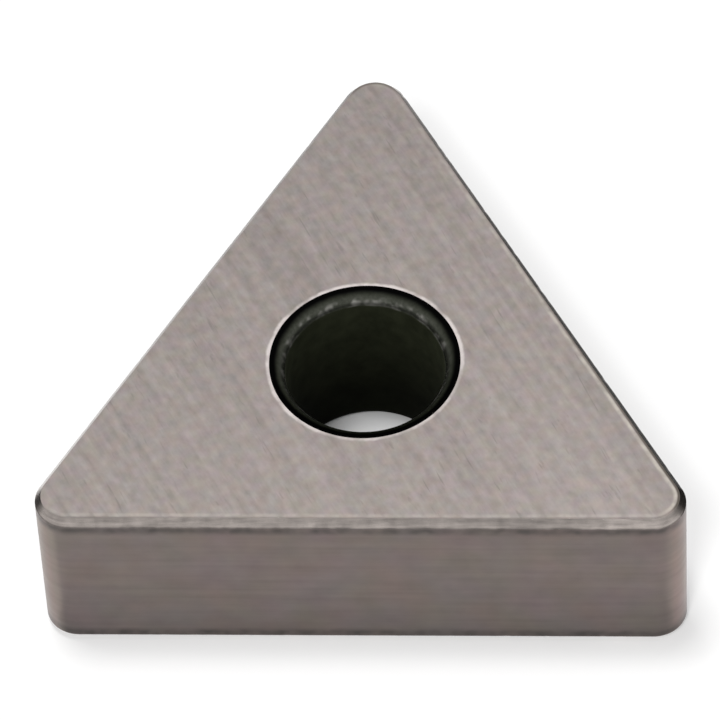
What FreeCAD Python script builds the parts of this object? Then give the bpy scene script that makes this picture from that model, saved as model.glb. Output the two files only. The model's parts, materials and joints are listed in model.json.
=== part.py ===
"""Triangular ceramic turning insert, one sintered and ground piece, in millimetres.

The frame stands on the face that the insert seats on: +Z is up through the fixing hole,
+Y points at one nose, and the origin is where the hole's axis meets the seating face.
Both faces are alike, so the insert can be turned over and has six cutting corners.
"""
import FreeCAD, Part
import enum
import math
import os

import Sketcher

# Driving dimensions, in millimetres and degrees
SIZES = {
    # Plate: the circle that touches its three sides, its thickness and its noses
    "inscribed_circle": 9.525,
    "thickness": 4.76,
    "nose_radius": 0.8,
    # Cutting edge: the sloping land ground along both faces, and the hone on its edge
    "land_width": 0.15,
    "land_slope": 55.0,
    "edge_hone": 0.03,
    # Fixing hole, and the rounding of its mouth at both faces
    "hole_diameter": 3.81,
    "mouth_rounding": 0.375,
}

NODE = "turning_insert"
SIDES = 3
TURN = 2 * math.pi / SIDES
NEAR = 1e-5


class Point(enum.IntEnum):
    """The point of a line, arc or circle that a constraint takes hold of."""
    START = 1
    END = 2
    CENTRE = 3


ORIGIN = (-1, Point.START)


def make_sheet(doc):
    """Put the driving dimensions in a spreadsheet, each cell with its own alias."""
    sheet = doc.addObject("Spreadsheet::Sheet", "Sizes")
    for row, (alias, value) in enumerate(SIZES.items(), 1):
        sheet.set(f"A{row}", alias.replace("_", " "))
        sheet.set(f"B{row}", str(value))
        sheet.setAlias(f"B{row}", alias)
    doc.recompute()
    return sheet


def new_sketch(body, plane_role, name):
    """Open a sketch on one of the body's own origin planes."""
    plane = next(item for item in body.Origin.OriginFeatures if item.Role == plane_role)
    sketch = body.newObject("Sketcher::SketchObject", name)
    sketch.AttachmentSupport = (plane, [""])
    sketch.MapMode = "FlatFace"
    return sketch


def tie(sketch, name, expression, *constraint):
    """Add a named dimension to a sketch and bind it to the spreadsheet."""
    index = sketch.addConstraint(Sketcher.Constraint(*constraint))
    sketch.renameConstraint(index, name)
    sketch.setExpression(f"Constraints.{name}", expression)


def polar(radius, angle):
    return FreeCAD.Vector(radius * math.cos(angle), radius * math.sin(angle), 0)


def draw_outline(body, sheet):
    """Three equal sides that touch the inscribed circle, joined by an arc at each nose."""
    inner = sheet.inscribed_circle / 2
    nose = sheet.nose_radius
    bisectors = [math.pi / 2 + turn * TURN for turn in range(SIDES)]
    centres = [polar(2 * (inner - nose), bisector) for bisector in bisectors]
    up = FreeCAD.Vector(0, 0, 1)

    sketch = new_sketch(body, "XY_Plane", "Outline")
    arcs = []
    for centre, bisector in zip(centres, bisectors):
        circle = Part.Circle(centre, up, nose)
        arc = Part.ArcOfCircle(circle, bisector - TURN / 2, bisector + TURN / 2)
        arcs.append(sketch.addGeometry(arc, False))
    sides = []
    for number, bisector in enumerate(bisectors):
        square = polar(nose, bisector + TURN / 2)
        after = centres[(number + 1) % SIDES]
        line = Part.LineSegment(centres[number] + square, after + square)
        sides.append(sketch.addGeometry(line, False))
    touching = sketch.addGeometry(Part.Circle(FreeCAD.Vector(), up, inner), True)

    for number in range(SIDES):
        after = arcs[(number + 1) % SIDES]
        sketch.addConstraint([
            Sketcher.Constraint("Tangent", arcs[number], Point.END, sides[number], Point.START),
            Sketcher.Constraint("Tangent", sides[number], Point.END, after, Point.START),
            Sketcher.Constraint("Tangent", sides[number], touching),
        ])
    for number in range(1, SIDES):
        sketch.addConstraint([
            Sketcher.Constraint("Equal", arcs[0], arcs[number]),
            Sketcher.Constraint("Equal", sides[0], sides[number]),
        ])
    sketch.addConstraint([
        Sketcher.Constraint("Coincident", touching, Point.CENTRE, *ORIGIN),
        Sketcher.Constraint("Horizontal", sides[1]),
    ])
    tie(sketch, "inscribed_circle", "Sizes.inscribed_circle", "Diameter", touching, 2 * inner)
    tie(sketch, "nose_radius", "Sizes.nose_radius", "Radius", arcs[0], nose)
    return sketch


def draw_hole(body, sheet):
    """The circle of the fixing hole, round the origin."""
    sketch = new_sketch(body, "XY_Plane", "HoleCircle")
    radius = sheet.hole_diameter / 2
    circle = Part.Circle(FreeCAD.Vector(), FreeCAD.Vector(0, 0, 1), radius)
    wall = sketch.addGeometry(circle, False)
    centred = Sketcher.Constraint("Coincident", wall, Point.CENTRE, *ORIGIN)
    sketch.addConstraint(centred)
    tie(sketch, "hole_diameter", "Sizes.hole_diameter", "Diameter", wall, 2 * radius)
    return sketch


def level_edges(feature, heights, rings_only=False):
    """Names of the edges that lie flat at one of the heights, or of the closed ones there."""
    names = []
    for number, edge in enumerate(feature.Shape.Edges, 1):
        box = edge.BoundBox
        flat = box.ZLength < NEAR
        level = any(abs(box.ZMin - height) < NEAR for height in heights)
        if flat and level and (edge.isClosed() or not rings_only):
            names.append(f"Edge{number}")
    return names


def pad_plate(doc, body, outline):
    """The plain triangular plate."""
    plate = body.newObject("PartDesign::Pad", "Plate")
    plate.Profile = outline
    plate.setExpression("Length", "Sizes.thickness")
    outline.Visibility = False
    doc.recompute()
    return plate


def grind_lands(doc, body, plate, sheet):
    """The land that slopes down from both faces, right round the sides and noses."""
    lands = body.newObject("PartDesign::Chamfer", "CuttingLands")
    lands.Base = (plate, level_edges(plate, (0, sheet.thickness)))
    lands.ChamferType = "Distance and Angle"
    lands.setExpression("Size", "Sizes.land_width")
    lands.setExpression("Angle", "Sizes.land_slope")
    lands.FlipDirection = True
    doc.recompute()
    face = max(lands.Shape.Faces, key=lambda item: item.CenterOfMass.z)
    inset = sheet.inscribed_circle / 2 + face.BoundBox.YMin
    if abs(inset - sheet.land_width) > NEAR:
        raise RuntimeError("The land is measured along the wrong face")
    return lands


def hone_edges(doc, body, lands, sheet):
    """The small radius where each land meets the sides."""
    drop = sheet.land_width * math.tan(math.radians(sheet.land_slope))
    hone = body.newObject("PartDesign::Fillet", "EdgeHone")
    hone.Base = (lands, level_edges(lands, (drop, sheet.thickness - drop)))
    hone.setExpression("Radius", "Sizes.edge_hone")
    doc.recompute()
    return hone


def cut_hole(doc, body, circle):
    """The fixing hole, straight through from face to face."""
    solid_before = body.Shape.Volume
    hole = body.newObject("PartDesign::Pocket", "FixingHole")
    hole.Profile = circle
    hole.Type = "ThroughAll"
    hole.Reversed = True
    circle.Visibility = False
    doc.recompute()
    if hole.Shape.Volume >= solid_before:
        raise RuntimeError("The hole cuts nothing")
    return hole


def round_mouths(doc, body, hole, sheet):
    """The rounding where the hole runs out into each face."""
    mouths = body.newObject("PartDesign::Fillet", "MouthRounding")
    mouths.Base = (hole, level_edges(hole, (0, sheet.thickness), rings_only=True))
    mouths.setExpression("Radius", "Sizes.mouth_rounding")
    doc.recompute()
    return mouths


def make_insert(doc, sheet):
    """The whole insert as one body."""
    body = doc.addObject("PartDesign::Body", "TurningInsert")
    body.Label = NODE
    plate = pad_plate(doc, body, draw_outline(body, sheet))
    lands = grind_lands(doc, body, plate, sheet)
    hone_edges(doc, body, lands, sheet)
    hole = cut_hole(doc, body, draw_hole(body, sheet))
    body.Tip = round_mouths(doc, body, hole, sheet)
    return body


def check(doc, body):
    """Stop when a feature failed, a sketch is loose or the solid isn't sound."""
    for item in doc.Objects:
        if "Invalid" in item.State or "Error" in item.State:
            raise RuntimeError(f"{item.Name} did not build: {item.State}")
        if item.TypeId == "Sketcher::SketchObject" and not item.FullyConstrained:
            raise RuntimeError(f"{item.Name} has a size or place left free")
    shape = body.Shape
    if shape.isNull() or not shape.isValid() or len(shape.Solids) != 1:
        raise RuntimeError(f"{body.Label} is not one valid solid")


def main():
    doc = FreeCAD.newDocument("CeramicTurningInsert")
    sheet = make_sheet(doc)
    body = make_insert(doc, sheet)
    doc.recompute()
    check(doc, body)
    os.makedirs("parts", exist_ok=True)
    body.Shape.exportStep(f"parts/{body.Label}.step")
    box = body.Shape.BoundBox
    print(f"{body.Label}: {box.XLength:.3f} x {box.YLength:.3f} x {box.ZLength:.3f} mm,"
          f" {body.Shape.Volume:.2f} mm3, {len(body.Shape.Faces)} faces")


main()
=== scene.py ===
import json
import math

import bpy
import numpy as np
from bpy.props import FloatProperty, FloatVectorProperty, PointerProperty
from mathutils import Matrix, Vector


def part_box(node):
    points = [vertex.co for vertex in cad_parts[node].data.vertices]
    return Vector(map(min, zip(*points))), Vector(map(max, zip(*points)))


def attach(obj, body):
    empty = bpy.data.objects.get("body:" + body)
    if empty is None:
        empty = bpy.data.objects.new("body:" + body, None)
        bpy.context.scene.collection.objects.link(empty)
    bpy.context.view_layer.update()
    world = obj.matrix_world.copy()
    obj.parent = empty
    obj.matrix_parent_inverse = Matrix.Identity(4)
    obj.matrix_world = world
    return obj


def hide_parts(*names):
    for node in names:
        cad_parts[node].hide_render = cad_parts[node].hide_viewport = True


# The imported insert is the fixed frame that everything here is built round
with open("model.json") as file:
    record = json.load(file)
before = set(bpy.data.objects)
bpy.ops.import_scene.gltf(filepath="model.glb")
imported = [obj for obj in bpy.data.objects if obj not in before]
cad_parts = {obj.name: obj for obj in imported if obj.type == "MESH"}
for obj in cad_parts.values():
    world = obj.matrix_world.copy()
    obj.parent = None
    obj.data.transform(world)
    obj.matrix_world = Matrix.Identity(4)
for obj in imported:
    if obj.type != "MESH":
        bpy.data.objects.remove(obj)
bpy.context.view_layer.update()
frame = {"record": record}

bl_info = {
    "name": "Ceramic Turning Insert",
    "version": (1, 0, 0),
    "blender": (4, 5, 0),
    "location": "3D View > Sidebar > Insert",
    "description": "Builds a ground triangular ceramic insert and the stage it is shown on",
    "category": "Add Mesh",
}

MM = 0.001
SIDES = 3
TURN = 2 * math.pi / SIDES
NODE = "turning_insert"
SEED = 9525


def frame_sizes():
    """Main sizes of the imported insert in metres, read from its box and from its hole's mount.

    The side nearest the origin is half the inscribed circle away, and a nose reaches twice
    that less its own radius.
    """
    low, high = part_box(NODE)
    inner = -low.y
    hole = next(m for m in frame["record"]["mounts"] if m["name"] == "clamp_hole")["dims"]
    thickness = high.z - low.z
    return {
        "inner": inner,
        "thickness": thickness,
        "nose": 2 * inner - high.y,
        "bore": hole["r_mm"] * MM,
        "mouth": (thickness - hole["length_mm"] * MM) / 2,
    }


CAD = frame_sizes()


def length(name, description, default):
    """A length property in metres."""
    return FloatProperty(name=name, description=description, default=default, min=0.0,
                         precision=5, subtype="DISTANCE", unit="LENGTH")


def colour(name, description, default):
    """A linear colour property."""
    return FloatVectorProperty(name=name, description=description, default=default, size=3,
                               min=0.0, max=1.0, subtype="COLOR")


class InsertSizes(bpy.types.PropertyGroup):
    """Sizes of the insert, in metres."""
    inner: length("Inscribed radius", "Half the circle that touches the sides", CAD["inner"])
    thickness: length("Thickness", "From face to face", CAD["thickness"])
    nose: length("Nose radius", "Radius of each rounded nose", CAD["nose"])
    bore: length("Hole radius", "Radius of the fixing hole", CAD["bore"])
    mouth: length("Mouth rounding", "Radius at both ends of the hole", CAD["mouth"])
    land: length("Land width", "Width of the land, measured across the face", 0.15 * MM)
    hone: length("Edge hone", "Radius on the cutting edge", 0.03 * MM)
    chip: length("Edge wear", "Depth of the deepest nick in the cutting edge", 0.007 * MM)
    slope: FloatProperty(name="Land slope", description="How steeply the land falls away",
                         default=math.radians(55), min=0.0, max=1.5, subtype="ANGLE",
                         unit="ROTATION")


class InsertColours(bpy.types.PropertyGroup):
    """Colours of the insert's surfaces, linear."""
    face: colour("Ground face", "Both flat faces", (0.326, 0.287, 0.271))
    # The sides are set about half as bright as the faces: partly their own ground finish, partly
    # painted shade
    side: colour("Ground side", "The three sides and the noses", (0.162, 0.131, 0.121))
    land: colour("Land", "The sloping land round both faces", (0.320, 0.285, 0.265))
    bore: colour("Sintered wall", "The wall of the fixing hole", (0.034, 0.038, 0.022))
    mouth: colour("Sintered mouth", "The rounded mouth of the hole", (0.075, 0.079, 0.064))


class StageSettings(bpy.types.PropertyGroup):
    """Lights, floor and camera."""
    ambient: FloatProperty(name="Ambient", description="Strength of the light from all round",
                           default=0.31, min=0.0, max=2.0)
    key: FloatProperty(name="Key light", description="Power of the overhead soft light in watts",
                       default=2.15, min=0.0, max=50.0, subtype="POWER", unit="POWER")
    fill: FloatProperty(name="Fill light", description="Power of the soft light in front",
                        default=1.85, min=0.0, max=50.0, subtype="POWER", unit="POWER")
    floor: colour("Floor", "Colour of the floor", (0.65, 0.65, 0.65))
    glow: FloatProperty(name="Floor glow", description="How far the floor is lifted to white",
                        default=0.37, min=0.0, max=2.0)
    elevation: FloatProperty(name="Camera elevation", description="Angle above the floor",
                             default=math.radians(52.65), subtype="ANGLE", unit="ROTATION")
    azimuth: FloatProperty(name="Camera azimuth", description="Angle round the insert",
                           default=math.radians(4.58), subtype="ANGLE", unit="ROTATION")
    roll: FloatProperty(name="Camera roll", description="Tilt of the picture",
                        default=math.radians(3.51), subtype="ANGLE", unit="ROTATION")
    distance: length("Camera distance", "From the lens to the point it looks at", 0.185)
    lens: FloatProperty(name="Focal length", description="For a picture 36 mm wide",
                        default=381.0, min=1.0, unit="CAMERA")


# Shape

FACE, LAND, SIDE, HOLE = range(4)

# Wear of the cutting edges: the nicks, with their least and greatest half widths in millimetres
# and the power that keeps most of them shallow, and a faint wave with two rhythms. Both fade
# across the edge over the same reach.
NICKS = 90
NICK_WIDTHS = (0.025, 0.09)
NICK_POWER = 0.45
WAVE_DEPTH = 0.0005 * MM
WAVE_RHYTHMS = (0.61 * MM, 0.23 * MM)
WEAR_REACH = 0.05 * MM


def walk_outline(size, per_nose=70, per_side=330):
    """Walk once round the plate and give the path of the nose centres and the outward normals.

    At each nose the centre stands still while the normal swings through 120 degrees, and along
    each side the normal holds while the centre slides to the next nose. A point at inset d is
    then centre + (nose radius - d) * normal.
    """
    bisector = math.pi / 2 + TURN * np.arange(SIDES)[:, None]
    swing = np.linspace(-TURN / 2, TURN / 2, per_nose, endpoint=False)[None, :]
    slide = np.linspace(0, 1, per_side, endpoint=False)[None, :]
    angle = np.hstack([bisector + swing, np.repeat(bisector + TURN / 2, per_side, axis=1)])
    share = np.hstack([np.zeros((SIDES, per_nose)), np.repeat(slide, SIDES, axis=0)])
    reach = 2 * (size.inner - size.nose)
    here = np.stack([np.cos(bisector), np.sin(bisector)], axis=-1) * reach
    after = np.roll(here, -1, axis=0)
    centre = here + share[..., None] * (after - here)
    normal = np.stack([np.cos(angle), np.sin(angle)], axis=-1)
    return centre.reshape(-1, 2), normal.reshape(-1, 2)


def half_profile(size):
    """Rows of the upper half of the cross-section, from the bore's waist to the side's middle.

    Each row has its zone, a share (0 on the hole's circle, 1 on the outline), a radius for the
    circle, an inset for the outline, a height and a turn: how far the mouth has turned from the
    wall (0) to the face (1). The run beside it is the distance along the profile from the
    crease between face and land, below 0 on the face and above 0 on the land. Materials use it
    near the cutting edge only, so it stands still on the face further in.
    """
    top, middle = size.thickness, size.thickness / 2
    fall = math.tan(size.slope)
    lean = math.pi / 2 - size.slope
    past_rim = np.array([0.006, 0.03, 0.09, 0.13, 0.20]) * MM
    before_crease = np.array([0.30, 0.14, 0.05, 0.012, 0.003]) * MM
    rows = []

    def add(zone, share, radius, inset, height, turned=1.0):
        shape = np.broadcast_arrays(float(zone), share, radius, inset, height, turned)
        rows.append(np.stack([np.atleast_1d(part).astype(float) for part in shape], axis=1))

    add(HOLE, 0, size.bore, 0, np.linspace(middle, top - size.mouth, 5), 0)
    bend = np.radians(np.linspace(0, 90, 19)[1:])
    add(HOLE, 0, size.bore + size.mouth * (1 - np.cos(bend)), 0,
        top - size.mouth + size.mouth * np.sin(bend), bend / (math.pi / 2))
    rim = size.bore + size.mouth
    add(FACE, 0, rim + past_rim, 0, top)
    add(FACE, np.array([0.12, 0.35, 0.6, 0.82]), rim + past_rim[-1],
        size.land + before_crease[0], top)
    add(FACE, 1, 0, size.land + before_crease, top)
    add(LAND, 1, 0, size.land, top - 0.0004 * MM)
    lip = size.hone * (1 - math.cos(lean))
    inset = np.array([size.land - 0.003 * MM, 0.75 * size.land, 0.5 * size.land,
                      0.25 * size.land, lip + 0.004 * MM, lip])
    add(LAND, 1, 0, inset, top - (size.land - inset) * fall)
    heel = top - (size.land - lip) * fall - size.hone * math.sin(lean)
    bend = np.linspace(lean, 0, 8)[1:]
    add(LAND, 1, 0, size.hone * (1 - np.cos(bend)), heel + size.hone * np.sin(bend))
    add(SIDE, 1, 0, 0, heel - np.array([0.004, 0.04, 0.2]) * MM)
    add(SIDE, 1, 0, 0, np.array([0.75, 0.25, 0.0]) * (heel - middle) + middle)
    table = np.vstack(rows)

    flat = np.where(table[:, 1] < 1, -(size.land + before_crease[0]), -table[:, 3])
    step = np.hypot(np.diff(flat), np.diff(table[:, 4]))
    run = np.concatenate([[0], np.cumsum(step)])
    crease = int(np.argmax(table[:, 0] == LAND))
    return table, run - run[crease]


def fold_profile(table, run, thickness):
    """Close the half profile into a loop by adding its mirror image about mid thickness.

    The mirrored rows come back in the opposite order, without the two rows at the waist. The
    zone of the band between two rows is that of the row further from the waist of the bore.
    """
    back = table[-2:0:-1].copy()
    back[:, 4] = thickness - back[:, 4]
    loop = np.vstack([table, back])
    runs = np.concatenate([run, run[-2:0:-1]])
    bands = np.concatenate([table[1:, 0], table[:0:-1, 0]]).astype(int)
    return loop, runs, bands


def edge_nicks(along, run, size):
    """Depth of the wear of the cutting edges, at each place along and each profile run.

    A nick is a product of two bell curves, exp(-(s - s0)^2 / w^2) along the edge and
    exp(-(p - p0)^2 / v^2) across it. Places, widths and depths are drawn with a fixed seed. The
    wave is a sine times a cosine along the edge, lifted so that it only ever takes away.
    """
    draw = np.random.default_rng(SEED)
    total = along[-1]
    place = draw.uniform(0, total, NICKS)
    width = draw.uniform(*NICK_WIDTHS, NICKS) * MM
    depth = size.chip * draw.power(NICK_POWER, NICKS)
    gap = np.abs(along[:, None] - place[None, :])
    gap = np.minimum(gap, total - gap)
    nick = (depth * np.exp(-(gap / width) ** 2)).sum(axis=1)
    slow, quick = WAVE_RHYTHMS
    wave = WAVE_DEPTH * (1 + np.sin(along / slow) * np.cos(along / quick))
    edge = size.land / math.cos(size.slope)
    across = np.exp(-((run - edge) / WEAR_REACH) ** 2)
    return (nick + wave)[None, :] * across[:, None]


def insert_surface(size):
    """Points, quads, run, turn and zone of the insert, as one closed torus of quads.

    The closed profile is carried round the closed outline. A row on the hole is radius *
    (cos, sin) of the outline point's own bearing, a row on the outline is centre + (nose radius
    - inset) * normal, and rows on the flat face are a straight mix of the two by the row's share.
    """
    centre, normal = walk_outline(size)
    table, run = half_profile(size)
    table, run, bands = fold_profile(table, run, size.thickness)
    share, radius, inset, height = (table[:, i][:, None] for i in (1, 2, 3, 4))

    edge = centre + (size.nose - size.land) * normal
    bearing = np.arctan2(edge[:, 1], edge[:, 0])
    spoke = np.stack([np.cos(bearing), np.sin(bearing)], axis=-1)
    along = np.linalg.norm(np.diff(centre + size.nose * normal, axis=0), axis=1)
    along = np.concatenate([[0], np.cumsum(along)])

    inset = inset + edge_nicks(along, run, size) * (share > 0.99)
    outer = centre[None] + (size.nose - inset)[..., None] * normal[None]
    inner = radius[..., None] * spoke[None]
    flat = (1 - share)[..., None] * inner + share[..., None] * outer
    height = np.broadcast_to(height, flat.shape[:2])
    points = np.concatenate([flat, height[..., None]], axis=-1)

    rows, columns = points.shape[:2]
    row, column = np.meshgrid(np.arange(rows), np.arange(columns), indexing="ij")
    right, up = (column + 1) % columns, (row + 1) % rows
    quads = np.stack([row * columns + column, up * columns + column,
                      up * columns + right, row * columns + right], axis=-1)
    return (points.reshape(-1, 3), quads.reshape(-1, 4), np.repeat(run, columns),
            np.repeat(table[:, 5], columns), np.repeat(bands, columns))


def new_mesh(name, points, quads, smooth=True):
    """A mesh object from arrays of points and quads, at the origin."""
    mesh = bpy.data.meshes.new(name)
    mesh.vertices.add(len(points))
    mesh.vertices.foreach_set("co", points.astype(np.float32).ravel())
    mesh.loops.add(quads.size)
    mesh.loops.foreach_set("vertex_index", quads.astype(np.int32).ravel())
    mesh.polygons.add(len(quads))
    mesh.polygons.foreach_set("loop_start", np.arange(0, quads.size, 4, dtype=np.int32))
    mesh.polygons.foreach_set("use_smooth", np.full(len(quads), smooth))
    mesh.update(calc_edges=True)
    mesh.validate()
    piece = bpy.data.objects.new(name, mesh)
    bpy.context.scene.collection.objects.link(piece)
    return piece


# Finish

# Direction of the grinding lines on the faces
LAY = math.radians(60)

# Refractive index of the ground ceramic, and of the sintered wall
GROUND_IOR = 1.8
SINTERED_IOR = 1.2

# Linear colours of the marks: two kinds of scratches, a painted highlight on the burnished rim of
# the hole, a painted highlight just inside the crease and painted shade at the crease, painted
# shade along the hone and beside it, and painted glints and a black ring of painted shade at the
# mouth of the hole
SCRATCH = (0.13, 0.12, 0.11)
GROOVE = (0.12, 0.11, 0.10)
RIM_HIGHLIGHT = (0.68, 0.62, 0.60)
CREASE_HIGHLIGHT = (0.58, 0.535, 0.47)
CREASE_SHADE = (0.070, 0.056, 0.041)
SHADE_ALONG_HONE = (0.055, 0.046, 0.042)
HONE_SHADE = (0.05, 0.042, 0.038)
GLINT = (0.34, 0.335, 0.31)
BLACK = (0.002, 0.002, 0.002)

# Faint tints of the ground ceramic, each a place in the noise and two colours to go between
TINTS = (
    ((11, 0, 4), (1.035, 0.975, 1.0, 1), (0.975, 1.015, 0.99, 1)),
    ((2, 17, 9), (1.0, 1.0, 1.04, 1), (1.01, 1.0, 0.94, 1)),
)


class Recipe:
    """The node tree of a material or world, with short calls that add a node to it."""

    def __init__(self, owner, output="ShaderNodeOutputMaterial"):
        owner.use_nodes = True
        self.owner = owner
        self.tree = owner.node_tree
        self.tree.nodes.clear()
        self.output = self.tree.nodes.new(output)

    def add(self, kind, inputs=(), **settings):
        """Add a node, set its settings, and set or link its inputs by name or number."""
        made = self.tree.nodes.new(kind)
        for name, value in settings.items():
            setattr(made, name, value)
        for key, value in dict(inputs).items():
            if isinstance(value, bpy.types.NodeSocket):
                self.tree.links.new(value, made.inputs[key])
            else:
                made.inputs[key].default_value = value
        return made

    def sum(self, operation, *values, clamp=False):
        """The result of one Math node."""
        node = self.add("ShaderNodeMath", enumerate(values), operation=operation,
                        use_clamp=clamp)
        return node.outputs[0]

    def place(self):
        """Object coordinates in millimetres."""
        coordinates = self.add("ShaderNodeTexCoord").outputs["Object"]
        return self.stretch(coordinates, (1 / MM, 1 / MM, 1 / MM))

    def stretch(self, vector, scale, turn=0.0, shift=(0, 0, 0)):
        """Turn a vector about Z and then scale it along each axis."""
        if turn:
            vector = self.add("ShaderNodeMapping", {0: vector, 2: (0, 0, turn)}).outputs[0]
        return self.add("ShaderNodeMapping", {0: vector, 1: shift, 3: scale}).outputs[0]

    def noise(self, vector, scale=1.0, detail=2.0, roughness=0.5):
        """Fractal noise between 0 and 1."""
        made = self.add("ShaderNodeTexNoise", {"Vector": vector, "Scale": scale,
                                               "Detail": detail, "Roughness": roughness})
        return made.outputs["Fac"]

    def remap(self, value, low, high, to_low=0.0, to_high=1.0, smooth=False):
        """Map a range of a value to another range, clamped."""
        made = self.add("ShaderNodeMapRange",
                        {"Value": value, "From Min": low, "From Max": high,
                         "To Min": to_low, "To Max": to_high},
                        interpolation_type="SMOOTHSTEP" if smooth else "LINEAR")
        return made.outputs["Result"]

    def blend(self, factor, first, second, kind="MIX"):
        """Mix two colours."""
        made = self.add("ShaderNodeMix", data_type="RGBA", blend_type=kind)
        for key, value in ((0, factor), (6, first), (7, second)):
            if isinstance(value, bpy.types.NodeSocket):
                self.tree.links.new(value, made.inputs[key])
            else:
                made.inputs[key].default_value = value
        return made.outputs[2]

    def split(self, vector):
        """The three coordinates of a vector."""
        return self.add("ShaderNodeSeparateXYZ", {0: vector}).outputs

    def along(self, vector, direction):
        """How far a vector reaches in a direction."""
        made = self.add("ShaderNodeVectorMath", {0: vector, 1: direction},
                        operation="DOT_PRODUCT")
        return made.outputs["Value"]

    def shade(self, colour, factor):
        """A colour multiplied by a number."""
        made = self.add("ShaderNodeVectorMath", {0: colour, "Scale": factor}, operation="SCALE")
        return made.outputs[0]

    def weigh(self, *parts):
        """The weighted sum of how far each noise is above or below its middle, 0.5."""
        total = -0.5 * sum(weight for _, weight in parts)
        for value, weight in parts:
            total = self.sum("MULTIPLY_ADD", value, weight, total)
        return total

    def tinge(self, colour, place, scale, strength=1.0):
        """Shift a colour a little towards pink or green, and towards blue or yellow, in soft
        patches."""
        for shift, first, second in TINTS:
            patch = self.noise(self.stretch(place, (scale, scale, scale), 0, shift), detail=2)
            tint = self.blend(self.remap(patch, 0.35, 0.65), first, second)
            colour = self.blend(strength, colour, tint, "MULTIPLY")
        return colour

    def reach(self, place):
        """Distance from the hole's axis, in millimetres."""
        flat = self.stretch(place, (1, 1, 0))
        return self.add("ShaderNodeVectorMath", {0: flat}, operation="LENGTH").outputs["Value"]

    def own(self, name):
        """A number that the piece carries at each point."""
        return self.add("ShaderNodeAttribute", attribute_name=name).outputs["Fac"]

    def run(self):
        """The distance from the crease between face and land, in millimetres."""
        return self.sum("MULTIPLY", self.own("edge_run"), 1 / MM)

    def finish(self, inputs, height=None, depth=0.0):
        """Add the surface shader, with a bump of the given depth in metres."""
        inputs = dict(inputs)
        if height is not None:
            bump = self.add("ShaderNodeBump", {"Strength": 1.0, "Distance": depth,
                                               "Height": height})
            inputs["Normal"] = bump.outputs[0]
        shader = self.add("ShaderNodeBsdfPrincipled", inputs)
        return self.end(shader)

    def end(self, shader):
        """Link the last shader to the output and give back the material or world."""
        self.tree.links.new(shader.outputs[0], self.output.inputs[0])
        return self.owner


def new_recipe(name):
    return Recipe(bpy.data.materials.new(name))


def rgba(value):
    return (*value, 1.0)


def foot_of_land(size):
    """Distance along the profile from the crease to the cutting edge, in millimetres."""
    return size.land / math.cos(size.slope) / MM


def scratch(make, body, place, scale, turn, shift, strength, tone):
    """A colour with sparse dark scratches, which are the peaks of a drawn out noise."""
    noise = make.noise(make.stretch(place, scale, turn, shift), detail=2)
    peaks = make.remap(noise, 0.66, 0.76, smooth=True)
    return make.blend(make.sum("MULTIPLY", peaks, strength), body, rgba(tone))


def rim_highlight(make, body, place, rim):
    """A colour with a painted highlight round the hole: a pale line on the burnished rim, broken
    unevenly, from rim millimetres outwards.
    """
    patch = make.noise(place, 2.2, 3)
    uneven = make.sum("MULTIPLY_ADD", patch, -0.10, make.reach(place))
    ring = make.remap(uneven, rim - 0.01, rim + 0.06, 1.0, 0.0, smooth=True)
    uneven_shine = make.remap(patch, 0.38, 0.60, 0.35, 1.0)
    # Painted highlight: the pale line stands for light caught on the burnished rim
    return make.blend(make.sum("MULTIPLY", ring, uneven_shine), body, rgba(RIM_HIGHLIGHT))


def crease_lines(make, body, place, blotch):
    """A colour with a painted highlight, a pale broken line on the face just inside the crease,
    and painted shade, a dark line at the crease. In front both are even along the edge, on the
    right they grow towards the right nose, and on the left there is neither. The far nose has the
    painted shade alone."""
    run = make.run()
    x, y, _ = make.split(place)
    near = make.remap(x, 3.0, 7.0)
    front = make.remap(y, -4.45, -4.2, 1.0, 0.0, smooth=True)
    right = make.remap(x, -0.8, 1.0)
    far_nose = make.remap(y, 8.0, 8.4, 0.0, 0.60, smooth=True)
    moved = make.sum("MULTIPLY_ADD", near, 0.03, run)

    # Painted highlight: a pale line on the face just inside the crease
    line = make.sum("MULTIPLY", make.remap(moved, -0.15, -0.08, smooth=True),
                    make.remap(moved, -0.055, -0.005, 1.0, 0.0, smooth=True))
    shine = make.sum("ADD", make.remap(x, -0.8, 2.0, 0.0, 0.40),
                     make.remap(x, 2.5, 7.2, 0.0, 0.6))
    shine = make.sum("MULTIPLY_ADD", front, make.sum("SUBTRACT", 0.34, shine), shine)
    broken = make.sum("MULTIPLY", make.remap(blotch, 0.38, 0.62, 0.35, 1.0), shine)
    body = make.blend(make.sum("MULTIPLY", line, broken), body, rgba(CREASE_HIGHLIGHT))

    # Painted shade at the crease, deepest towards the right nose, and at the far nose
    deep = make.sum("MULTIPLY", near, make.sum("SUBTRACT", 1.0, front))
    deep = make.sum("MULTIPLY_ADD", deep, 0.65, 0.28)
    deep = make.sum("MULTIPLY", deep, make.sum("MAXIMUM", front, right))
    tip = make.sum("MULTIPLY", far_nose, make.remap(run, -0.09, -0.02, smooth=True))
    shade_at_crease = make.sum("MAXIMUM", make.remap(moved, -0.05, 0.0, 0.0, deep, smooth=True), tip)
    return make.blend(shade_at_crease, body, rgba(CREASE_SHADE))


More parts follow.
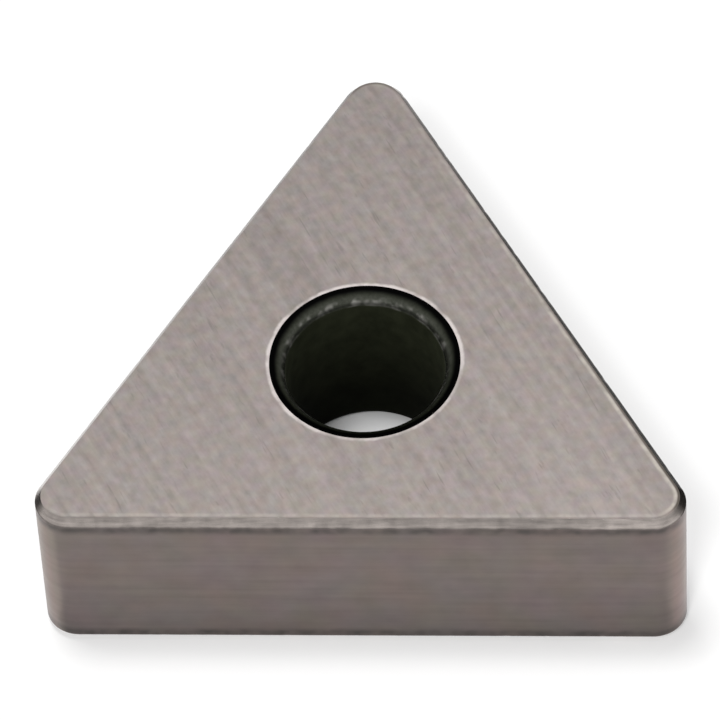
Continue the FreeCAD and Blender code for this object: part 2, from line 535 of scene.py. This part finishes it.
def ground_face(colours, size):
    """Flat faces: broken grinding streaks one way over small blotches, a painted sheen that pales
    them towards the right front, faint tints in patches, a few darker scratches, a painted
    highlight on the rim of the hole, and the painted highlight and shade at the crease."""
    make = new_recipe("ground_face")
    place = make.place()
    streak = make.noise(make.stretch(place, (0.10, 4.6, 1), LAY, (3, 1, 0)), detail=2)
    blotch = make.noise(make.stretch(place, (3.7, 4.3, 1), LAY, (1, 8, 0)), detail=2)
    fine = make.noise(make.stretch(place, (3.5, 20.0, 1), LAY, (7, 5, 0)), detail=2)
    tone = make.weigh((streak, 0.74), (blotch, 0.78), (fine, 0.20))
    # Painted sheen: the faces pale evenly towards the right front, as where more light falls
    tone = make.sum("ADD", tone, make.along(place, (0.014, -0.0235, 0)))
    body = make.shade(tuple(colours.face), make.sum("MULTIPLY_ADD", tone, 0.62, 1.0))
    body = make.tinge(body, place, 3.2, 0.85)
    body = scratch(make, body, place, (1.8, 7.5, 1), LAY, (0, 9, 2), 0.26, SCRATCH)
    body = scratch(make, body, place, (0.9, 11.0, 1), LAY + 0.06, (5, 3, 6), 0.34, GROOVE)
    body = rim_highlight(make, body, place, (size.bore + size.mouth) / MM)
    body = crease_lines(make, body, place, blotch)

    rough = make.sum("MULTIPLY_ADD", tone, -0.15, 0.40)
    height = make.sum("ADD", make.sum("MULTIPLY", fine, 0.6), make.sum("MULTIPLY", streak, 0.5))
    return make.finish({"Base Color": body, "Metallic": 0.55, "Roughness": rough,
                        "IOR": GROUND_IOR}, height, 0.002 * MM)


def ground_land(colours, size):
    """The land and its hone: fine lines along the land over soft patches, with painted shade
    beside the face, a painted highlight towards the cutting edge and painted shade along the hone.
    Painted shade darkens it to the right, most of all on the right side, and a painted highlight
    pales it at the right end in front."""
    make = new_recipe("ground_land")
    place = make.place()
    edge = foot_of_land(size)
    grain = make.noise(place, 9.0, 3)
    cloud = make.noise(place, 2.2, 3)
    patch = make.noise(place, 3.2, 1)
    line = make.noise(make.stretch(place, (1.3, 1.3, 13.0)), detail=2)
    tone = make.weigh((grain, 0.3), (cloud, 0.8), (patch, 0.9), (line, 1.3))
    level = make.sum("MULTIPLY_ADD", tone, 0.7, 1.0)
    uneven = make.sum("MULTIPLY_ADD", make.sum("SUBTRACT", cloud, 0.5), 0.05, make.run())
    # Painted shade beside the face and a painted highlight towards the cutting edge
    lift = make.remap(uneven, 0.20 * edge, 0.75 * edge, 0.88, 1.05, smooth=True)

    x, y, _ = make.split(place)
    # Painted shade to the right and on the right side, and a painted highlight at the right end in
    # front
    lift = make.sum("MULTIPLY", lift, make.remap(x, -1.0, 7.5, 1.0, 0.80))
    end_highlight = make.sum("MULTIPLY", make.remap(x, 4.9, 5.9, 0.0, 0.55),
                        make.remap(y, -4.55, -4.35, 1.0, 0.0))
    lift = make.sum("MULTIPLY_ADD", lift, end_highlight, lift)
    to_right_side = make.along(place, (0.866, 0.5, 0))
    side_shade = make.sum("MULTIPLY", make.remap(to_right_side, 4.3, 4.6),
                        make.remap(x, 1.0, 6.5, 0.20, -0.42))
    lift = make.sum("MULTIPLY_ADD", lift, side_shade, lift)
    body = make.shade(tuple(colours.land), make.sum("MULTIPLY", level, lift))

    # Painted shade along the hone, in broken stretches
    hone = make.remap(uneven, edge - 0.05, edge + 0.015, smooth=True)
    hone = make.sum("MULTIPLY", hone, make.remap(patch, 0.35, 0.65, 0.85, 0.55))
    body = make.blend(hone, body, rgba(SHADE_ALONG_HONE))
    return make.finish({"Base Color": body, "Metallic": 0.9, "Roughness": 0.22,
                        "IOR": GROUND_IOR}, grain, 0.001 * MM)


def ground_side(colours, size):
    """Sides and noses: faint level streaks and soft mottling, a painted highlight that makes the
    noses warmer and paler by their distance from the hole's axis, and painted shade beside the
    hones in broken stretches."""
    make = new_recipe("ground_side")
    place = make.place()
    streak = make.noise(make.stretch(place, (0.30, 0.30, 7.0)), detail=2)
    line = make.noise(make.stretch(place, (0.8, 0.8, 26.0), 0, (2, 6, 1)), detail=2)
    cloud = make.noise(place, 1.5, 3)
    tone = make.weigh((streak, 0.42), (line, 0.08), (cloud, 0.55))
    body = make.shade(tuple(colours.side), make.sum("MULTIPLY_ADD", tone, 0.62, 1.0))
    body = make.tinge(body, place, 0.8)

    # Painted highlight: the noses paler and warmer, over a wider band on the right nose, and
    # pinker at the tips
    reach = make.reach(place)
    x = make.split(place)[0]
    start = make.remap(x, -1, 1, 8.535, 8.545)
    end = make.remap(x, -1, 1, 8.64, 8.72)
    nose = make.remap(reach, start, end, smooth=True)
    body = make.blend(nose, body, make.blend(1.0, body, (1.34, 1.34, 1.27, 1), "MULTIPLY"))
    tip = make.remap(reach, 8.64, 8.70, smooth=True)
    body = make.blend(tip, body, make.blend(1.0, body, (1.06, 0.97, 0.99, 1), "MULTIPLY"))

    edge = foot_of_land(size)
    broken = make.weigh((cloud, 0.8), (make.noise(place, 3.2, 1), -0.8))
    broken = make.remap(broken, -0.2, 0.2, 0.30, 0.90)
    run = make.run()
    shadow = make.sum("MULTIPLY",
                      make.remap(run, edge - 0.02, edge + 0.07, 0.45, 1.0, smooth=True),
                      make.remap(run, edge + 0.10, edge + 0.36, 1.0, 0.0, smooth=True))
    body = make.blend(make.sum("MULTIPLY", shadow, broken), body, rgba(HONE_SHADE))
    rough = make.sum("MULTIPLY_ADD", tone, -0.15, 0.32)
    return make.finish({"Base Color": body, "Metallic": 0.75, "Roughness": rough,
                        "IOR": GROUND_IOR}, streak, 0.0012 * MM)


def sintered_hole(colours, size):
    """The hole as sintered: a near black wall with a green cast and painted shade that darkens it
    inwards, a grainy half-glossy band where the mouth turns over, with painted glints and a
    painted reflection that pales it towards the wall, and a black ring of painted shade outside
    it."""
    make = new_recipe("sintered_hole")
    place = make.place()
    grain = make.noise(place, 9.0, 4, 0.6)
    patch = make.noise(place, 2.4, 3)
    turn = make.sum("MULTIPLY_ADD", make.sum("SUBTRACT", patch, 0.5), 0.10, make.own("mouth_turn"))
    height = make.split(place)[2]
    start = make.remap(height, 1.0, 3.0, 0.40, 0.06)
    shiny = make.remap(turn, start, make.sum("ADD", start, 0.16), smooth=True)
    band = make.sum("MULTIPLY", shiny, make.remap(turn, 0.50, 0.84, 1.0, 0.0, smooth=True))

    # Painted shade: the wall darkens downwards, deep in the hole
    level = make.remap(height, 1.2, size.thickness / MM - 0.9, 0.16, 1.0)
    level = make.sum("MULTIPLY", level, make.remap(patch, 0.3, 0.7, 0.75, 1.25))
    body = make.shade(tuple(colours.bore), level)
    # Painted shade: a black ring, darker than the sintered skin, where the mouth turns over to the
    # face
    body = make.blend(make.remap(turn, 0.45, 0.75), body, rgba(BLACK))

    # Painted glints on the band
    glint = make.remap(make.noise(place, 2.6, 2), 0.48, 0.68, 0.0, 1.0, smooth=True)
    glint = make.sum("MULTIPLY", glint, make.remap(turn, 0.34, 0.56, 1.0, 0.0, smooth=True))
    # Painted reflection: the band's skin pales towards the wall
    fade = make.sum("MULTIPLY", make.remap(turn, 0.15, 0.70, 1.35, 0.55),
                    make.remap(grain, 0.3, 0.7, 0.75, 1.2))
    skin = make.shade(tuple(colours.mouth), fade)
    skin = make.blend(glint, skin, rgba(GLINT))
    body = make.blend(band, body, skin)
    rough = make.remap(shiny, 0.0, 1.0, 0.9, 0.42)
    return make.finish({"Base Color": body, "Metallic": shiny, "Roughness": rough,
                        "IOR": SINTERED_IOR, "Specular Tint": rgba((0.1, 0.1, 0.1))},
                       grain, 0.003 * MM)


FINISHES = (ground_face, ground_land, ground_side, sintered_hole)


# Stage

# The floor lies just under the seat, so that the two never share a plane
FLOOR_REACH = 2.0
FLOOR_DROP = 0.002 * MM

# Lamps: where each hangs and how long its sides are, in metres
KEY_PLACE = (-0.075, 0.07, 0.66)
KEY_SIDE = 0.16
FILL_PLACE = (-0.076, -0.403, 0.60)
FILL_SIDE = 0.11

# Standing cards, sheets of painted reflection that only shiny surfaces see: the bearing in degrees
# of the side that each stands beside, the heights that it stands between, and the stops of its
# brightness. Heights and places are in millimetres.
CARDS = (
    ("card_right", 60, (0.6, 5.2),
     ((-13, 0.7), (-10, 0.24), (-5, 0.02), (8, 0.02), (10.5, 0.83))),
    ("card_left", -60, (0, 6),
     ((-5, 1.4), (3, 0.82), (13, 0.5))),
    ("card_nose", -60, (2.6, 5.4),
     ((-10.5, 0.85), (-8, 0.02), (-6, 0.02), (-5, 0.5))),
)
CARD_GAP = 4 * MM

# The card that lies in front, a painted shadow that only shiny surfaces see
FRONT_CARD_HALF_WIDTH = 8 * MM
FRONT_CARD_DEPTH = 1.7 * MM
FRONT_CARD_HEIGHT = 0.01 * MM
FRONT_CARD_LEVEL = 0.60

# The point that the camera looks at, from the origin along the picture's right and up
AIM_RIGHT = -0.289 * MM
AIM_UP = 2.916 * MM


def by_ray(recipe, unseen, seen):
    """A number that is one value for light on the object and another for what is seen."""
    path = recipe.add("ShaderNodeLightPath").outputs
    shown = recipe.sum("ADD", path["Is Camera Ray"], path["Is Glossy Ray"])
    shown = recipe.sum("ADD", shown, path["Is Transmission Ray"], clamp=True)
    return recipe.remap(shown, 0.0, 1.0, unseen, seen)


def set_world(settings):
    """A white surround, dimmer as a light than it looks."""
    world = bpy.data.worlds.new("surround")
    bpy.context.scene.world = world
    make = Recipe(world, "ShaderNodeOutputWorld")
    strength = by_ray(make, settings.ambient, 1.0)
    make.end(make.add("ShaderNodeBackground", {"Color": rgba((1, 1, 1)), "Strength": strength}))


def flat_sheet(name, centre, across, upward):
    """A rectangle from its centre and two half-edge vectors."""
    centre, across, upward = (np.array(v, float) for v in (centre, across, upward))
    corners = np.array([[-1, -1], [1, -1], [1, 1], [-1, 1]], float)
    points = centre + corners[:, :1] * across + corners[:, 1:] * upward
    piece = new_mesh(name, points, np.array([[0, 1, 2, 3]]), smooth=False)
    return piece


def lay_floor(settings):
    """A plain pale floor that keeps the insert's shadow, with painted shade at the foot of the
    hole, where its glow is taken down.
    """
    floor = flat_sheet("floor", (0, 0, -FLOOR_DROP), (FLOOR_REACH, 0, 0), (0, FLOOR_REACH, 0))
    make = new_recipe("floor_paint")
    diffuse = make.add("ShaderNodeBsdfDiffuse", {"Color": rgba(settings.floor)})
    reach = make.reach(make.place())
    # Painted shade: the glow is taken down on the floor under the hole
    inside = make.sum("MULTIPLY", make.remap(reach, 3.0, 4.0, 1.0, 0.0),
                      make.remap(reach, 1.2, 2.1, 0.0, 0.85))
    lift = make.sum("MULTIPLY", by_ray(make, 0.0, settings.glow),
                    make.sum("SUBTRACT", 1.0, inside))
    glow = make.add("ShaderNodeEmission", {"Strength": lift})
    both = make.add("ShaderNodeAddShader", {0: diffuse.outputs[0], 1: glow.outputs[0]})
    floor.data.materials.append(make.end(both))


def show_card(card, make, strength):
    """Give a card its brightness, and show it in glossy rays only."""
    card.data.materials.append(make.end(make.add("ShaderNodeEmission", {"Strength": strength})))
    card.visible_camera = False
    card.visible_diffuse = False
    card.visible_shadow = False
    card.visible_transmission = False


def stand_card(name, size, bearing, heights, stops):
    """A card of painted reflection that stands parallel to a side and a little off it, where only
    shiny surfaces see it.

    Bearing is from +Y towards +X. The card stands between two heights in millimetres. Its
    brightness next to the white surround changes evenly between stops along the side, each a
    place in millimetres and a level, and the card ends at the first and last of them.
    """
    away = np.array([math.sin(bearing), math.cos(bearing), 0.0])
    across = np.array([math.cos(bearing), -math.sin(bearing), 0.0])
    start, stop, low, high = stops[0][0], stops[-1][0], *heights
    centre = away * (size.inner + CARD_GAP) + across * (start + stop) / 2 * MM
    centre[2] = (low + high) / 2 * MM
    card = flat_sheet(name, centre, across * (stop - start) / 2 * MM,
                      (0, 0, (high - low) / 2 * MM))
    make = new_recipe(name)
    along = make.along(make.place(), tuple(across))
    strength = stops[0][1]
    for (place, level), (after, next_level) in zip(stops, stops[1:]):
        rise = make.remap(along, place, after, 0.0, next_level - level)
        strength = make.sum("ADD", rise, strength)
    show_card(card, make, strength)


def lay_card(name, size, depth, level):
    """A card that lies close over the floor in front of the insert, where only shiny surfaces
    see it, and pales to white away from the insert: a painted contact shadow for the sides to
    reflect."""
    centre = (0, -size.inner - depth / 2, FRONT_CARD_HEIGHT)
    card = flat_sheet(name, centre, (FRONT_CARD_HALF_WIDTH, 0, 0), (0, depth / 2, 0))
    make = new_recipe(name)
    y = make.split(make.place())[1]
    foot = -size.inner / MM
    show_card(card, make, make.remap(y, foot - depth / MM, foot, 1.0, level))


def hang_light(name, place, power, side):
    """A soft square lamp that shines at the origin."""
    data = bpy.data.lights.new(name, "AREA")
    data.shape = "SQUARE"
    data.size = side
    data.energy = power
    lamp = bpy.data.objects.new(name, data)
    facing = Vector(place).to_track_quat("Z", "Y").to_matrix().to_4x4()
    lamp.matrix_world = Matrix.Translation(place) @ facing
    lamp.visible_camera = False
    lamp.visible_glossy = False
    bpy.context.scene.collection.objects.link(lamp)


def set_camera(settings):
    """The camera, turned round the insert by the azimuth and tipped down by the elevation.

    The picture's right and up vectors are turned by the roll, and the camera stands back along
    its own line of sight from the point that it looks at.
    """
    e, roll = settings.elevation, settings.roll
    right, up = Vector((1, 0, 0)), Vector((0, math.sin(e), math.cos(e)))
    ahead = Vector((0, math.cos(e), -math.sin(e)))
    right, up = (math.cos(roll) * right - math.sin(roll) * up,
                 math.sin(roll) * right + math.cos(roll) * up)
    aim = AIM_RIGHT * right + AIM_UP * up
    turned = Matrix.Rotation(settings.azimuth, 4, "Z")
    pose = Matrix((right, up, -ahead)).transposed().to_4x4()
    pose.translation = aim - settings.distance * ahead
    data = bpy.data.cameras.new("camera")
    data.lens = settings.lens
    data.sensor_width = 36
    data.clip_start, data.clip_end = 0.01, 20
    camera = bpy.data.objects.new("camera", data)
    camera.matrix_world = turned @ pose
    bpy.context.scene.collection.objects.link(camera)
    bpy.context.scene.camera = camera


# Operators

class INSERT_OT_body(bpy.types.Operator):
    """Build the ground ceramic insert"""
    bl_idname = "insert.body"
    bl_label = "Insert body"

    def execute(self, context):
        size, colours = context.scene.insert_sizes, context.scene.insert_colours
        points, quads, run, turn, zone = insert_surface(size)
        piece = new_mesh("insert_body", points, quads)
        for name, values in (("edge_run", run), ("mouth_turn", turn)):
            attribute = piece.data.attributes.new(name, "FLOAT", "POINT")
            attribute.data.foreach_set("value", values.astype(np.float32))
        for finish in FINISHES:
            piece.data.materials.append(finish(colours, size))
        piece.data.polygons.foreach_set("material_index", zone.astype(np.int32))
        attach(piece, "root")
        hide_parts(NODE)
        return {"FINISHED"}


class INSERT_OT_stage(bpy.types.Operator):
    """Set up the floor, the lights, the cards and the camera"""
    bl_idname = "insert.stage"
    bl_label = "Stage"

    def execute(self, context):
        settings, size = context.scene.insert_stage, context.scene.insert_sizes
        context.scene.view_settings.view_transform = "Standard"
        set_camera(settings)
        set_world(settings)
        lay_floor(settings)
        hang_light("key", KEY_PLACE, settings.key, KEY_SIDE)
        hang_light("fill", FILL_PLACE, settings.fill, FILL_SIDE)
        for name, bearing, heights, stops in CARDS:
            stand_card(name, size, math.radians(bearing), heights, stops)
        lay_card("card_front", size, FRONT_CARD_DEPTH, FRONT_CARD_LEVEL)
        return {"FINISHED"}


class INSERT_PT_panel(bpy.types.Panel):
    """Sizes, colours and stage of the insert, and the buttons that build them"""
    bl_label = "Ceramic Insert"
    bl_idname = "INSERT_PT_panel"
    bl_space_type = "VIEW_3D"
    bl_region_type = "UI"
    bl_category = "Insert"

    def draw(self, context):
        for group in ("insert_sizes", "insert_colours", "insert_stage"):
            settings = getattr(context.scene, group)
            box = self.layout.box()
            for name in settings.__annotations__:
                box.prop(settings, name)
        self.layout.operator(INSERT_OT_body.bl_idname)
        self.layout.operator(INSERT_OT_stage.bl_idname)


CLASSES = (InsertSizes, InsertColours, StageSettings, INSERT_OT_body, INSERT_OT_stage,
           INSERT_PT_panel)


def register():
    for item in CLASSES:
        bpy.utils.register_class(item)
    bpy.types.Scene.insert_sizes = PointerProperty(type=InsertSizes)
    bpy.types.Scene.insert_colours = PointerProperty(type=InsertColours)
    bpy.types.Scene.insert_stage = PointerProperty(type=StageSettings)


def unregister():
    del bpy.types.Scene.insert_stage
    del bpy.types.Scene.insert_colours
    del bpy.types.Scene.insert_sizes
    for item in reversed(CLASSES):
        bpy.utils.unregister_class(item)


def main():
    register()
    bpy.ops.insert.body()
    bpy.ops.insert.stage()


if __name__ == "__main__":
    main()
